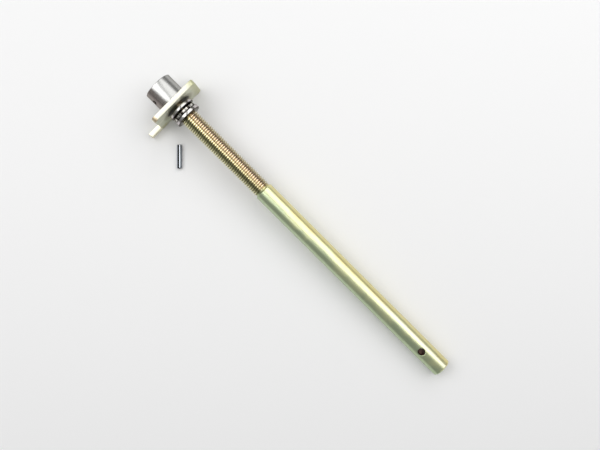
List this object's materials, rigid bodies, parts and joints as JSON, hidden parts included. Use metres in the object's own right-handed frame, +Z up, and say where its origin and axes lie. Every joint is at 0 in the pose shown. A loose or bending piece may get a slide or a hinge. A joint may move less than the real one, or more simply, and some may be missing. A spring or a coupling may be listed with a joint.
{
  "type": "feed screw",
  "caption": "Feed screw: long plain rod with a cross hole, threaded end in a thrust ball bearing, square thrust plate with a tab, bored collar and a loose spring pin.",
  "frame": {"origin": "middle of the resting part's box, on the floor", "axes": "+X along the screw towards its plain end, +Z up from the floor, the plate's tab and the loose pin on the -Y side"},
  "size_m": [0.3296, 0.0604, 0.0451],
  "materials": {
    "yellow_zinc": "pale yellow-green zinc plating",
    "yellow_zinc_plate": "pale yellow-green zinc plating",
    "bearing_steel": "ground and polished",
    "cage_steel": "pressed sheet, satin",
    "bare_steel": "turned, lightly oiled",
    "spring_steel": "blue-grey, tempered"
  },
  "bodies": {
    "plate": {"thrust_plate": "yellow_zinc_plate", "plate_race": "bearing_steel", "spring_pin": "spring_steel"},
    "screw": {"feed_screw": "yellow_zinc", "screw_race": "bearing_steel", "collar": "bare_steel"},
    "cage": {"ball_cage": "cage_steel", "ball_1": "bearing_steel", "ball_2": "bearing_steel", "ball_3": "bearing_steel", "ball_4": "bearing_steel", "ball_5": "bearing_steel", "ball_6": "bearing_steel", "ball_7": "bearing_steel", "ball_8": "bearing_steel", "ball_9": "bearing_steel"}
  },
  "joints": [
    {"name": "screw_turn", "type": "hinge", "parent": "plate", "child": "screw", "pos_m": [-0.14015, 0.00769, 0.02247], "axis": [0.9989, 0, -0.0476], "continuous": true},
    {"name": "cage_roll", "type": "hinge", "parent": "plate", "child": "cage", "pos_m": [-0.13308, 0.00769, 0.02214], "axis": [0.9989, 0, -0.0476], "continuous": true}
  ],
  "couplings": [
    {"joint": "cage_roll", "follows": "screw_turn", "ratio": 0.5}
  ]
}
